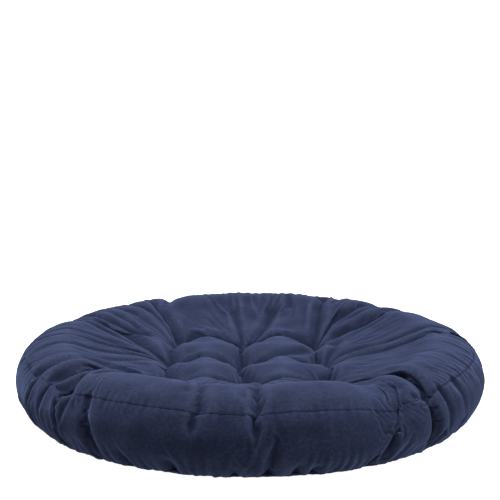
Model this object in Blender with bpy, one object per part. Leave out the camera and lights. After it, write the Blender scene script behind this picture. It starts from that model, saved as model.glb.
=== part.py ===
"""A round boxed-edge seat cushion: two fabric discs joined by a side strip, a
fibre filling, and nine through-stitched tufts in a three by three square.

Metres, +Z up. The origin is at the middle of the underside, which rests on
z = 0. The strip's two ends meet at the back, on +Y.
"""
import math

import bmesh
import bpy
from mathutils import Vector
from mathutils.geometry import delaunay_2d_cdt

# ---------------------------------------------------------------- dimensions
RADIUS = 0.280            # widest radius, half way up the side strip
CREST_Z = 0.0905          # height of the puffed ring just inside the edge
CENTRE_Z = 0.0860         # height the top would have in the middle, untufted
CREST_R = 0.2225          # radius of that puffed ring
WIDEST_Z = 0.0430         # height of the widest line
TOP_SEAM_R = 0.2630       # radius of the seam of top disc and strip
BOTTOM_SEAM_R = 0.2610    # radius of the seam of bottom disc and strip
REST_R = 0.2360           # radius of the flat that rests on the ground
UNDER_POWER = 1.6         # roundness of the side below its widest line

TUFT_COLUMNS = (-0.0925, -0.0080, 0.0850)  # x of the tufts, set by hand, so
TUFT_ROWS = (0.0920, 0.0040, -0.0830)      # y   not quite evenly spaced
TUFT_HEIGHTS = ((0.0480, 0.0425, 0.0400),  # height of the fabric at each tuft:
                (0.0410, 0.0310, 0.0320),  # back, middle and front row, each
                (0.0400, 0.0370, 0.0390))  # from left to right
TUFT_FLAT = 0.0050        # radius pressed flat under a tuft's stitch
TUFT_REACH = 0.0200       # how far a tuft draws the top down around it
UNDER_TUFT_Z = 0.0065     # how far a tuft lifts the underside
UNDER_REACH = 0.0180      # and how far around it

CLOTH = 0.0012            # thickness of the fabric
GAP = 0.0005              # clearance between touching layers
SEAM_GAP = 0.0020         # width of a seam's groove
THREAD_R = 0.00055        # radius of the sewing thread laid in a seam
TUFT_THREAD_R = 0.00050   # radius of the tufting thread
STITCH_HALF = 0.0025      # half the length of a tuft's surface stitch
HOLE_R = 0.0012           # radius of the hole each leg of a tuft passes
OPENING_FROM, OPENING_TO = 100.0, 132.0  # degrees: the hand-sewn opening

SEGMENTS = 60             # points around the edge


# ------------------------------------------------------------------ the form
def tufts():
    """Name, x, y and fabric height of each tuft."""
    for row, y, heights in zip(("back", "middle", "front"), TUFT_ROWS, TUFT_HEIGHTS):
        for column, x, z in zip(("left", "centre", "right"), TUFT_COLUMNS, heights):
            yield f"tuft_thread_{row}_{column}", x, y, z


def crown(r):
    """Height of the untufted top at radius r."""
    if r <= CREST_R:
        return CENTRE_Z + (CREST_Z - CENTRE_Z) * (r / CREST_R) ** 2
    t = min(1.0, (r - CREST_R) / (RADIUS - CREST_R))
    return WIDEST_Z + (CREST_Z - WIDEST_Z) * math.sqrt(max(0.0, 1 - t * t))


def top_z(x, y):
    """Height of the top fabric's outer face."""
    base = crown(math.hypot(x, y))
    z = base
    for _, tx, ty, tz in tufts():
        d = max(0.0, math.hypot(x - tx, y - ty) - TUFT_FLAT)
        if d < 0.12:
            z -= (crown(math.hypot(tx, ty)) - tz) * math.exp(-(d / TUFT_REACH) ** 1.2)
    return max(z, min(min(row) for row in TUFT_HEIGHTS) - 0.002)


def under_z(x, y):
    """Height of the bottom fabric's outer face: flat but for tufts and rim."""
    r = math.hypot(x, y)
    z = 0.0
    for _, tx, ty, _ in tufts():
        d = (math.hypot(x - tx, y - ty) - TUFT_FLAT) / UNDER_REACH
        if d < 1:
            z = max(z, UNDER_TUFT_Z * 0.5 * (1 + math.cos(math.pi * max(0.0, d))))
    if r > REST_R:
        t = min(1.0, (r - REST_R) / (RADIUS - REST_R))
        z = WIDEST_Z * (1 - (1 - t ** UNDER_POWER) ** (1 / UNDER_POWER))
    return z


def side_point(t):
    """Point (r, z) of the strip's outer face, t from 0 at the top seam to 1."""
    top_angle = math.acos((TOP_SEAM_R - CREST_R) / (RADIUS - CREST_R))
    if t < 0.5:
        a = top_angle * (1 - 2 * t)
        return (CREST_R + (RADIUS - CREST_R) * math.cos(a),
                WIDEST_Z + (CREST_Z - WIDEST_Z) * math.sin(a))
    low = (BOTTOM_SEAM_R - REST_R) / (RADIUS - REST_R)
    drop = (1 - low ** UNDER_POWER) ** (1 / UNDER_POWER)
    s = drop * (2 * t - 1)
    r = (1 - s ** UNDER_POWER) ** (1 / UNDER_POWER)
    return REST_R + (RADIUS - REST_R) * r, WIDEST_Z * (1 - s)


def side_normal(t):
    a, b = side_point(max(0.0, t - 0.01)), side_point(min(1.0, t + 0.01))
    dr, dz = b[0] - a[0], b[1] - a[1]
    length = math.hypot(dr, dz)
    return -dz / length, dr / length


# ------------------------------------------------------------- mesh building
def hole_centres():
    for _, x, y, _ in tufts():
        yield x - STITCH_HALF, y
        yield x + STITCH_HALF, y


def disc_plan(edge_radius):
    """Flat triangulation of a disc with the tufts' thread holes in it:
    points, triangles, the outer loop and the loops of the holes."""
    points, edges, loops = [], [], []
    for hx, hy in hole_centres():
        first = len(points)
        for k in range(6):
            a = math.pi / 3 * (k + 0.5)
            points.append((hx + HOLE_R * math.cos(a), hy + HOLE_R * math.sin(a)))
            edges.append((first + k, first + (k + 1) % 6))
        loops.append(list(range(first, first + 6)))
    first = len(points)
    for k in range(SEGMENTS):
        a = 2 * math.pi * k / SEGMENTS
        points.append((edge_radius * math.cos(a), edge_radius * math.sin(a)))
    outer = list(range(first, first + SEGMENTS))

    wanted = []
    for _, tx, ty, _ in tufts():
        for radius, count in ((0.0062, 8), (0.0125, 9), (0.0210, 10), (0.0320, 11)):
            for k in range(count):
                a = 2 * math.pi * (k + 0.25 * (count % 2)) / count
                wanted.append((tx + radius * math.cos(a), ty + radius * math.sin(a),
                               0.34 * radius + 0.0012))
    for radius, count in ((0.2500, 60), (REST_R, 60), (0.2180, 48), (0.1980, 40)):
        if radius < edge_radius - 0.006:
            for k in range(count):
                a = 2 * math.pi * (k + 0.5) / count
                wanted.append((radius * math.cos(a), radius * math.sin(a), 0.0090))
    for j in range(-8, 9):
        for i in range(-8, 9):
            x, y = 0.0222 * i, 0.0222 * j
            if math.hypot(x, y) < 0.190:
                wanted.append((x, y, 0.0150))
    kept = list(points)
    for x, y, room in wanted:
        if all((x - px) ** 2 + (y - py) ** 2 > room * room for px, py in kept[first:]):
            kept.append((x, y))
    verts, _, faces, *_ = delaunay_2d_cdt(
        [Vector(p) for p in kept], edges, [], 0, 1e-7)
    if len(verts) != len(kept):
        raise ValueError("the plan lost a point")
    holes = list(hole_centres())
    triangles = []
    for face in faces:
        cx = sum(verts[i].x for i in face) / 3
        cy = sum(verts[i].y for i in face) / 3
        if min(math.hypot(cx - hx, cy - hy) for hx, hy in holes) > HOLE_R * 0.8:
            triangles.append(tuple(face))
    return [(v.x, v.y) for v in verts], triangles, outer, loops


def new_object(name, verts, faces, material, smooth=True):
    mesh = bpy.data.meshes.new(name)
    mesh.from_pydata(verts, [], faces)
    bm = bmesh.new()
    bm.from_mesh(mesh)
    loose = [v for v in bm.verts if not v.link_faces]
    bmesh.ops.delete(bm, geom=loose, context="VERTS")
    bmesh.ops.recalc_face_normals(bm, faces=bm.faces)
    if bm.calc_volume(signed=True) < 0:
        bmesh.ops.reverse_faces(bm, faces=bm.faces)
    bm.to_mesh(mesh)
    bm.free()
    if smooth:
        mesh.shade_smooth()
        mesh.set_sharp_from_angle(angle=math.radians(40))
    mesh.materials.append(material)
    made = bpy.data.objects.new(name, mesh)
    bpy.context.scene.collection.objects.link(made)
    return made


def layered_disc(name, edge_radius, upper, lower, material, walls=()):
    """A closed body between two height functions over the disc plan. walls
    are rings of (r, z) from the upper edge down to the lower edge."""
    points, triangles, outer, loops = disc_plan(edge_radius)
    n = len(points)
    verts = [(x, y, upper(x, y)) for x, y in points]
    verts += [(x, y, lower(x, y)) for x, y in points]
    faces = [(a, b, c) for a, b, c in triangles]
    faces += [(c + n, b + n, a + n) for a, b, c in triangles]
    for loop in loops:
        for k in range(6):
            a, b = loop[k], loop[(k + 1) % 6]
            faces.append((a, b, b + n, a + n))
    rings = [outer]
    for r, z in walls:
        first = len(verts)
        for k in range(SEGMENTS):
            a = 2 * math.pi * k / SEGMENTS
            verts.append((r * math.cos(a), r * math.sin(a), z))
        rings.append(list(range(first, first + SEGMENTS)))
    rings.append([i + n for i in outer])
    for upper_ring, lower_ring in zip(rings, rings[1:]):
        for k in range(SEGMENTS):
            m = (k + 1) % SEGMENTS
            faces.append((upper_ring[m], upper_ring[k], lower_ring[k], lower_ring[m]))
    return new_object(name, verts, faces, material)


def filling_body(name, upper, lower, top_edge, bottom_edge, walls, material):
    """As layered_disc, with a wider upper than lower plan: the lower plan's
    outer loop is drawn in to bottom_edge."""
    points, triangles, outer, loops = disc_plan(top_edge)
    n = len(points)
    rim = set(outer)
    verts = [(x, y, upper(x, y)) for x, y in points]
    for i, (x, y) in enumerate(points):
        if i in rim:
            x, y = x * bottom_edge / top_edge, y * bottom_edge / top_edge
        verts.append((x, y, lower(x, y)))
    faces = [(a, b, c) for a, b, c in triangles]
    faces += [(c + n, b + n, a + n) for a, b, c in triangles]
    for loop in loops:
        for k in range(6):
            a, b = loop[k], loop[(k + 1) % 6]
            faces.append((a, b, b + n, a + n))
    rings = [outer]
    for r, z in walls:
        first = len(verts)
        for k in range(SEGMENTS):
            a = 2 * math.pi * k / SEGMENTS
            verts.append((r * math.cos(a), r * math.sin(a), z))
        rings.append(list(range(first, first + SEGMENTS)))
    rings.append([i + n for i in outer])
    for upper_ring, lower_ring in zip(rings, rings[1:]):
        for k in range(SEGMENTS):
            m = (k + 1) % SEGMENTS
            faces.append((upper_ring[m], upper_ring[k], lower_ring[k], lower_ring[m]))
    return new_object(name, verts, faces, material)


def tube(name, path, radius, sides, closed, material):
    """A round thread along a path of points, capped unless it is closed."""
    points = [Vector(p) for p in path]
    count = len(points)
    verts, faces = [], []
    previous = None
    for i, p in enumerate(points):
        ahead = points[(i + 1) % count] if closed or i + 1 < count else p
        behind = points[i - 1] if closed or i else p
        along = (ahead - behind).normalized()
        guide = previous if previous else (
            Vector((0, 0, 1)) if abs(along.z) < 0.9 else Vector((0, 1, 0)))
        across = (guide - along * guide.dot(along)).normalized()
        previous = across
        other = along.cross(across)
        for k in range(sides):
            a = 2 * math.pi * k / sides
            verts.append(p + across * (radius * math.cos(a)) + other * (radius * math.sin(a)))
    for i in range(count if closed else count - 1):
        for k in range(sides):
            a, b = i * sides + k, i * sides + (k + 1) % sides
            c, d = ((i + 1) % count) * sides + (k + 1) % sides, ((i + 1) % count) * sides + k
            faces.append((a, b, c, d))
    if not closed:
        faces.append(tuple(reversed(range(sides))))
        faces.append(tuple(range((count - 1) * sides, count * sides)))
    return new_object(name, verts, faces, material)


def arc(r, z, start, stop, count):
    out = []
    for k in range(count + 1):
        a = math.radians(start + (stop - start) * k / count)
        out.append((r * math.cos(a), r * math.sin(a), z))
    return out


# -------------------------------------------------------------------- pieces
def side_strip(name, material):
    """The long strip around the side, open by a slit where its ends meet."""
    top_t, bottom_t = 0.022, 0.978
    steps = [top_t + (bottom_t - top_t) * k / 8 for k in range(9)]
    outer = [side_point(t) for t in steps]
    inner = []
    for t in steps:
        (r, z), (nr, nz) = side_point(t), side_normal(t)
        inner.append((r - nr * CLOTH, z - nz * CLOTH))
    profile = outer + inner[::-1]
    half_slit = math.degrees(math.asin(SEAM_GAP / 2 / RADIUS))
    start, stop = 90 + half_slit, 450 - half_slit
    # the columns fall on the disc plan's own angles apart from the slit's two
    angles = [start] + [90 + 360 * k / SEGMENTS for k in range(1, SEGMENTS)] + [stop]
    verts = []
    for a in angles:
        c, s = math.cos(math.radians(a)), math.sin(math.radians(a))
        verts += [(r * c, r * s, z) for r, z in profile]
    m = len(profile)
    faces = []
    for i in range(len(angles) - 1):
        for k in range(m):
            a, b = i * m + k, i * m + (k + 1) % m
            faces.append((a, b, b + m, a + m))
    last = (len(angles) - 1) * m
    for base, flip in ((0, True), (last, False)):
        for k in range(8):
            quad = (base + k, base + k + 1, base + m - 2 - k, base + m - 1 - k)
            faces.append(quad[::-1] if flip else quad)
    return new_object(name, verts, faces, material)


def tuft_loop(name, x, y, z_top, material):
    """A closed loop of thread: a stitch on top, two legs, a stitch below."""
    high = z_top + GAP + TUFT_THREAD_R
    low = UNDER_TUFT_Z - GAP - TUFT_THREAD_R
    bend = 0.0011
    path = []
    corners = ((1, high, 90, 0), (1, low, 0, -90), (-1, low, -90, -180), (-1, high, 180, 90))
    for side, z, a0, a1 in corners:
        cx = side * (STITCH_HALF - bend)
        cz = z - bend if z == high else z + bend
        for k in range(4):
            a = math.radians(a0 + (a1 - a0) * k / 3)
            path.append((x + cx + bend * math.cos(a), y, cz + bend * math.sin(a)))
    return tube(name, path, TUFT_THREAD_R, 6, True, material)


def material(name, colour, roughness):
    made = bpy.data.materials.new(name)
    made.use_nodes = True
    shader = made.node_tree.nodes["Principled BSDF"]
    shader.inputs["Base Color"].default_value = (*colour, 1.0)
    shader.inputs["Roughness"].default_value = roughness
    shader.inputs["Metallic"].default_value = 0.0
    made.diffuse_color = (*colour, 1.0)
    return made


def main():
    for old in list(bpy.data.objects):
        bpy.data.objects.remove(old, do_unlink=True)

    navy = material("navy_fabric", (0.040, 0.053, 0.125), 0.92)
    fibre = material("white_fibre", (0.82, 0.82, 0.80), 0.95)
    thread = material("navy_thread", (0.022, 0.028, 0.062), 0.70)

    seam_top = side_point(0.0)
    seam_bottom = side_point(1.0)
    panel_top_edge = TOP_SEAM_R - SEAM_GAP / 2 - 0.0002
    panel_bottom_edge = BOTTOM_SEAM_R - SEAM_GAP / 2 - 0.0004

    layered_disc("top_panel", panel_top_edge, top_z,
                 lambda x, y: top_z(x, y) - CLOTH, navy)
    layered_disc("bottom_panel", panel_bottom_edge,
                 lambda x, y: under_z(x, y) + CLOTH, under_z, navy)
    side_strip("side_band", navy)

    inset = CLOTH + GAP
    steps = [0.10 + 0.80 * k / 5 for k in range(6)]
    walls = []
    for t in steps:
        (r, z), (nr, nz) = side_point(t), side_normal(t)
        walls.append((r - nr * (inset + 0.0004), z - nz * (inset + 0.0004)))
    filling_body("filling",
                 lambda x, y: top_z(x, y) - inset,
                 lambda x, y: under_z(x, y) + inset,
                 panel_top_edge - 0.0022, panel_bottom_edge - 0.0022, walls, fibre)

    nr, nz = side_normal(0.0)
    tube("top_seam_thread", arc(seam_top[0] - nr * 0.0007, seam_top[1] - nz * 0.0007,
                                0, 360, 90)[:-1], THREAD_R, 6, True, thread)
    nr, nz = side_normal(1.0)
    low_r, low_z = seam_bottom[0] - nr * 0.0007, seam_bottom[1] - nz * 0.0007
    slack = 0.25
    tube("bottom_seam_thread", arc(low_r, low_z, OPENING_TO + slack,
                                   OPENING_FROM + 360 - slack, 82), THREAD_R, 6, False, thread)
    tube("closing_stitch_thread", arc(low_r, low_z, OPENING_FROM + slack,
                                      OPENING_TO - slack, 8), THREAD_R, 6, False, thread)

    line = []
    for k in range(13):
        t = 0.075 + 0.85 * k / 12
        (r, z), (nr, nz) = side_point(t), side_normal(t)
        line.append((0.0, r - nr * 0.0007, z - nz * 0.0007))
    tube("band_join_thread", line, THREAD_R * 0.8, 6, False, thread)

    for name, x, y, z in tufts():
        tuft_loop(name, x, y, z, thread)


main()
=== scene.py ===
"""A navy round tufted seat cushion: the cover is cut flat, sewn, tufted and
filled by a cloth simulation, then given seams, stitches and its fabric."""
import math
import time

import bpy
import numpy as np
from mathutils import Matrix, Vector
from mathutils.geometry import delaunay_2d_cdt
from mathutils.kdtree import KDTree


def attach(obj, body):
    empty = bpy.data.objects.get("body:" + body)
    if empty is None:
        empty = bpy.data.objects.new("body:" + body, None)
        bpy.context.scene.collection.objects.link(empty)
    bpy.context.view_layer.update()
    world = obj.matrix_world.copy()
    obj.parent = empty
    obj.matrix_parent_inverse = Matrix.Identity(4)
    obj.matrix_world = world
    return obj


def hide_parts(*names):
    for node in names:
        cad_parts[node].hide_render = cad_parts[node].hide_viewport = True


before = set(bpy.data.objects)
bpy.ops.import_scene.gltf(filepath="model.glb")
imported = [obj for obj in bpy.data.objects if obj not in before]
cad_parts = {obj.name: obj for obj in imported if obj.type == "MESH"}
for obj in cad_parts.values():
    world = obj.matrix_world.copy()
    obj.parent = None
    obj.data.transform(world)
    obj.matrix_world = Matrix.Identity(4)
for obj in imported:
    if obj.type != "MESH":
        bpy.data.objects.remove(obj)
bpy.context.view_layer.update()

bpy.context.scene.view_settings.view_transform = "Standard"

# ------------------------------------------------------------------- the folds
# Folds of the top, from a pinch or the edge inwards: depth in millimetres and
# the line each runs along, seen from above, in metres.
CREASES = (
    (11, ((-0.0900, 0.0970), (-0.0985, 0.1150), (-0.1080, 0.1380), (-0.1200, 0.1620), (-0.1270, 0.1800))),  # tl_out
    (5, ((-0.1848, 0.1993), (-0.1688, 0.1753))),  # tl_out2
    (11, ((-0.0916, 0.0921), (-0.0985, 0.0690), (-0.0990, 0.0420), (-0.0940, 0.0160), (-0.0925, 0.0060))),  # tl_ml
    (11, ((-0.092, 0.0096), (-0.1179, 0.0328), (-0.1402, 0.0557), (-0.1607, 0.0719), (-0.1836, 0.0794), (-0.2109, 0.0807), (-0.2362, 0.0859), (-0.2551, 0.0916))),  # ml_a
    (8, ((-0.1388, 0.0867), (-0.1695, 0.0922), (-0.1941, 0.1033), (-0.2193, 0.1134), (-0.2467, 0.1164))),  # ml_b
    (5, ((-0.0941, 0.0083), (-0.1333, 0.029), (-0.1598, 0.0432), (-0.1863, 0.0552), (-0.2278, 0.0685), (-0.253, 0.075))),  # ml_c
    (4, ((-0.1498, 0.1004), (-0.1899, 0.1251), (-0.2278, 0.1273), (-0.253, 0.1264))),  # ml_d
    (4, ((-0.1562, 0.136), (-0.1941, 0.1469), (-0.2278, 0.1557))),  # ml_e
    (4, ((-0.1025, -0.0004), (-0.1413, -0.0101), (-0.1716, -0.0263), (-0.2109, -0.0427), (-0.2488, -0.0493))),  # ml_f
    (4, ((-0.1145, 0.0107), (-0.1603, 0.0081), (-0.2025, -0.0035), (-0.2488, -0.0122))),  # ml_g
    (3, ((-0.1716, 0.0216), (-0.2109, 0.0205), (-0.253, 0.0161))),  # ml_h
    (3, ((-0.1221, -0.0239), (-0.1596, -0.0527), (-0.1857, -0.0776))),  # ml_i
    (9, ((-0.0905, -0.084), (-0.1153, -0.0927), (-0.1462, -0.096), (-0.1772, -0.1016), (-0.2109, -0.1125), (-0.232, -0.1212))),  # bl_a
    (12, ((-0.0884, -0.0858), (-0.1113, -0.0949), (-0.1377, -0.1091), (-0.1646, -0.1256), (-0.1857, -0.1408), (-0.2046, -0.1495))),  # bl_b
    (15, ((-0.1604, -0.1277), (-0.1772, -0.1517), (-0.192, -0.1757), (-0.2046, -0.191))),  # bl_c
    (6, ((-0.0994, -0.0974), (-0.1176, -0.1181), (-0.1351, -0.1517), (-0.1604, -0.167))),  # bl_d
    (7, ((-0.0066, 0.0911), (0.0105, 0.1113), (0.0211, 0.1474), (0.0260, 0.1735))),  # tc_a
    (4, ((0.0501, 0.2145), (0.0505, 0.2000), (0.0518, 0.1882))),  # tc_b
    (4, ((-0.0099, 0.0933), (-0.0153, 0.1293), (-0.0216, 0.1744))),  # tc_c
    (9, ((0.0820, 0.1033), (0.0883, 0.1393), (0.0930, 0.1796), (0.0980, 0.2000))),  # tr_a
    (4, ((0.1260, 0.2100), (0.1200, 0.2000), (0.1120, 0.1850))),  # tr_rim
    (3, ((0.1190, 0.2150), (0.1150, 0.2050), (0.1080, 0.1900))),  # tr_rim2
    (8, ((0.0865, 0.1034), (0.1088, 0.1352), (0.1343, 0.1578), (0.1638, 0.1753), (0.1932, 0.1862))),  # tr_r1
    (5, ((0.1197, 0.1309), (0.1511, 0.1491), (0.1848, 0.1622))),  # tr_r2
    (14, ((0.1228, 0.1087), (0.1547, 0.1149), (0.1806, 0.1317), (0.2101, 0.1426), (0.2374, 0.1491))),  # tr_r3
    (6, ((0.0901, 0.0901), (0.1080, 0.0774), (0.1122, 0.0620), (0.1040, 0.0400), (0.0880, 0.0120))),  # tr_loop
    (11, ((0.0850, 0.0920), (0.0810, 0.0640), (0.0815, 0.0380), (0.0850, 0.0060))),  # tr_mr
    (9, ((0.0860, 0.0040), (0.0935, -0.0200), (0.0945, -0.0520), (0.0880, -0.0810))),  # mr_br
    (5, ((0.0848, 0.0061), (0.0936, -0.0156), (0.1021, -0.0456), (0.096, -0.0801))),  # mr_br2
    (4, ((0.0913, 0.0105), (0.1374, 0.0163), (0.1881, 0.0188), (0.2311, 0.014))),  # mr_r1
    (4, ((0.096, 0.0194), (0.1376, 0.0295), (0.179, 0.0264), (0.2522, 0.0401))),  # mr_r2
    (4, ((0.105, -0.0065), (0.1558, -0.0136), (0.2101, -0.0078), (0.2648, 0.0096))),  # mr_r3
    (7, ((0.0880, -0.0850), (0.1000, -0.1050), (0.1120, -0.1220))),  # br_a
    (13, ((0.0991, -0.0950), (0.1277, -0.1177), (0.1520, -0.1400), (0.1740, -0.1660), (0.1890, -0.1880))),  # br_b
    (6, ((0.1596, -0.1299), (0.1806, -0.1604), (0.1764, -0.1953))),  # br_c
    (8, ((0.0069, -0.0863), (0.0288, -0.1048), (0.0558, -0.1129), (0.0772, -0.1027), (0.0917, -0.0853))),  # bc_loop
    (6, ((0.0108, -0.1071), (0.0183, -0.1449), (0.0261, -0.1765))),  # bc_a
    (8, ((-0.0030, -0.1800), (0.0005, -0.2050), (0.0035, -0.2300), (0.0065, -0.2600))),  # bc_b
    (4, ((-0.0047, -0.1997), (-0.0088, -0.2433))),  # bc_c
    (4, ((0.0195, -0.0942), (0.0432, -0.1194), (0.0666, -0.136))),  # bc_d
    (8, ((-0.0036, 0.0061), (0.0217, 0.0139), (0.0448, 0.0279), (0.0659, 0.0401))),  # mc_mr
    (7, ((-0.0015, 0.0061), (0.0322, 0.0105), (0.0848, 0.0096))),  # mc_mr2
    (10, ((-0.0080, 0.0060), (-0.0105, 0.0300), (-0.0105, 0.0580), (-0.0080, 0.0900))),  # mc_tc
    (10, ((-0.0899, 0.0039), (-0.0647, 0.0096), (-0.0352, 0.0105), (-0.0057, 0.0039))),  # mc_ml
    (11, ((-0.0886, -0.0841), (-0.0604, -0.089), (-0.031, -0.0872), (0.0027, -0.0811))),  # bl_bc
    (9, ((-0.092, 0.0039), (-0.0996, -0.0244), (-0.0981, -0.0549), (-0.0886, -0.0841))),  # ml_bl
    (10, ((-0.0078, 0.0039), (-0.0141, -0.0201), (-0.0078, -0.0549), (0.0027, -0.0811))),  # mc_bc
    (7, ((0.0048, -0.0833), (0.0537, -0.0871), (0.0915, -0.0811))),  # bc_br
    (8, ((-0.0873, 0.0964), (-0.0682, 0.1109), (-0.0422, 0.1069), (-0.0078, 0.0911))),  # tl_tc
    (5, ((-0.0833, 0.0963), (-0.0511, 0.098), (-0.0078, 0.0911))),  # tl_tc2
    (9, ((-0.0049, 0.0911), (0.0208, 0.1068), (0.047, 0.1081), (0.0796, 0.101))),  # tc_tr
    (6, ((-0.1170, 0.1560), (-0.1130, 0.1900), (-0.1080, 0.2200), (-0.1080, 0.2450))),  # back_notch
    (7, ((-0.0960, 0.1010), (-0.1159, 0.1310), (-0.1400, 0.1560), (-0.1620, 0.1700))),  # tl_old
    (6, ((-0.0490, -0.1850), (-0.0505, -0.2250), (-0.0520, -0.2600))),  # front_left_dip
    (4, ((-0.0640, -0.1900), (-0.0650, -0.2300))),  # front_left_dip2
)

# side folds: angle in degrees, depth in mm, how far down the strip it reaches, lean in radians
EDGE_FOLDS = (
    (139.0, 8, 0.8, 0.00), (114.5, 5, 0.5, 0.0), (222.0, 3, 0.7, 0.02), (-45.5, 11, 1.0, 0.03), (30.5, 10, 0.8, 0.0),
    (161.0, 6, 0.6, 0.0), (-102.0, 5, 0.30, 0.0),
    (-89.5, 7, 0.35, 0.04), (-57.0, 7, 1.10, -0.05), (-128.5, 9, 1.10, 0.05),
    (-50.5, 3, 0.9, -0.10), (-133.5, 4, 0.5, -0.09), (-39.5, 5, 0.7, 0.04),
    (-33.0, 4, 0.6, 0.04), (-144.0, 3, 0.5, -0.04), (-150.5, 3, 0.5, -0.04), (75.0, 4, 0.4, 0.0),
)
FOOT_FOLDS = (
    (-107.5, 7, 0.40, 0.0), (-93.5, 4, 0.30, 0.0), (-86.0, 7, 0.75, 0.03), (-79.5, 6, 0.35, 0.0), (-75.5, 5, 0.30, 0.0),
    (-118.0, 5, 0.45, -0.04), (-62.0, 6, 0.45, 0.06), (-48.0, 6, 0.6, 0.08), (-42.0, 5, 0.5, 0.08),
    (-137.0, 3, 0.5, -0.05), (-150.0, 5, 0.4, 0.0), (-31.0, 6, 0.5, 0.0), (-13.0, 5, 0.4, 0.0), (2.0, 6, 0.4, 0.0),
    (21.0, 5, 0.4, 0.0), (39.0, 6, 0.4, 0.0), (57.0, 6, 0.4, 0.0), (69.0, 5, 0.4, 0.0), (88.0, 6, 0.4, 0.0), (107.0, 5, 0.4, 0.0),
    (121.0, 6, 0.4, 0.0), (146.0, 5, 0.4, 0.0), (168.0, 6, 0.4, 0.0), (183.0, 5, 0.4, 0.0), (199.0, 6, 0.4, 0.0),
)
# stretches of the rim that lie lower: angle and half width in degrees, depth in mm
LOW_RIMS = ((-55.5, 10.0, 14.0), (-94.0, 8.0, 2.5), (116.0, 4.0, 3.0), (139.0, 5.0, 2.0), (-130.0, 6.0, 3.0))


# ------------------------------------------------------------------ the cloth
RADIUS, HEIGHT = 0.280, 0.0905          # the CAD cushion
CREST_R, CREST_Z, CENTRE_Z, WIDE_Z = 0.2225, 0.0905, 0.0860, 0.0430
REST_R, DISH_R, DISH = 0.2470, 0.1350, 0.0215
SEAM_R = 0.2670
BAND = 0.0810                           # width the side strip was cut to
LOW_CUT = 0.2530                        # radius the underside was cut to
PULLED = 0.0980                         # cloth distance of tufts 0.0885 apart
TUFT_X = (-0.0925, -0.0080, 0.0850)
TUFT_Y = (0.0920, 0.0040, -0.0830)
TUFT_Z = ((0.0480, 0.0425, 0.0400), (0.0410, 0.0310, 0.0320), (0.0400, 0.0370, 0.0390))
LIFT = 0.0060                           # how far a tuft lifts the underside


def crown(r):
    r = np.asarray(r, float)
    inner = CENTRE_Z + (CREST_Z - CENTRE_Z) * (r / CREST_R) ** 2
    t = np.clip((r - CREST_R) / (RADIUS - CREST_R), 0, 1)
    outer = WIDE_Z + (CREST_Z - WIDE_Z) * np.sqrt(1 - t * t)
    return np.where(r <= CREST_R, inner, outer)


def tuft_list():
    return [(x, y, TUFT_Z[j][i]) for j, y in enumerate(TUFT_Y) for i, x in enumerate(TUFT_X)]


def dished(r):
    """The crown with the tufted middle sunk below its rounded rim."""
    u = np.maximum(CREST_R - np.asarray(r, float), 0) / (CREST_R - DISH_R)
    u = np.clip(np.sqrt(u * u + 0.0144) - 0.12, 0, 1)
    return crown(r) - DISH * (2 * u - u * u)


def pad_height(x, y):
    """Height of the filling's top under the cover, tufts pulled down."""
    z = dished(np.hypot(x, y))
    low = np.zeros_like(z)
    for tx, ty, tz in tuft_list():
        d = np.hypot(x - tx, y - ty)
        here = float(dished(math.hypot(tx, ty)))
        low = np.maximum(low, (here - tz) * np.exp(-(d / 0.024) ** 1.2))
    return z - low


def smooth(a, b, x):
    t = np.clip((np.asarray(x, float) - a) / (b - a), 0, 1)
    return t * t * (3 - 2 * t)


def cloth_of_plan():
    """Tables that turn a plan radius into the cloth's own radius: the cloth
    is longer than the plan, because it climbs over the filling."""
    r = np.linspace(0, SEAM_R, 400)
    a = np.linspace(0, 2 * math.pi, 73)[:-1]
    z = pad_height(r[:, None] * np.cos(a), r[:, None] * np.sin(a))
    step = np.sqrt(np.diff(r)[:, None] ** 2 + np.diff(z, axis=0) ** 2).mean(axis=1)
    s = np.concatenate([[0], np.cumsum(step)])
    inner = np.interp(0.0885, r, s)
    s = s + (PULLED - inner) * smooth(0, 0.0885, r)
    return r, s


def disc_points(radius, h, count, tufts):
    """Evenly spread points in the cut disc, the edge's first."""
    edge = [(radius * math.cos(2 * math.pi * k / count), radius * math.sin(2 * math.pi * k / count))
            for k in range(count)]
    second = [((radius - 0.87 * h) * math.cos(2 * math.pi * (k + 0.5) / count),
               (radius - 0.87 * h) * math.sin(2 * math.pi * (k + 0.5) / count)) for k in range(count)]
    rng = np.random.default_rng(11)
    inside = []
    rows = int(radius / (h * 0.866)) + 2
    for j in range(-rows, rows + 1):
        for i in range(-rows - 2, rows + 3):
            x, y = (i + 0.5 * (j % 2)) * h, j * h * 0.866
            if math.hypot(x, y) < radius - 1.55 * h:
                inside.append((x, y))
    inside = np.array(inside)
    inside += rng.normal(0, 0.10 * h, inside.shape)
    ids = []
    for tx, ty in tufts:
        k = int(np.argmin(np.hypot(inside[:, 0] - tx, inside[:, 1] - ty)))
        inside[k] = (tx, ty)
        ids.append(k + 2 * count)
    points = np.concatenate([edge, second, inside])
    verts, _, faces, *_ = delaunay_2d_cdt(
        [Vector(p) for p in points], [(k, (k + 1) % count) for k in range(count)], [], 0, 1e-9)
    assert len(verts) == len(points)
    tris = np.array([tuple(f) for f in faces])
    p = points
    area = (np.cross(p[tris[:, 1]] - p[tris[:, 0]], p[tris[:, 2]] - p[tris[:, 0]]))
    tris[area < 0] = tris[area < 0][:, ::-1]
    return points, tris[np.abs(area) > 1e-9]


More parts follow.
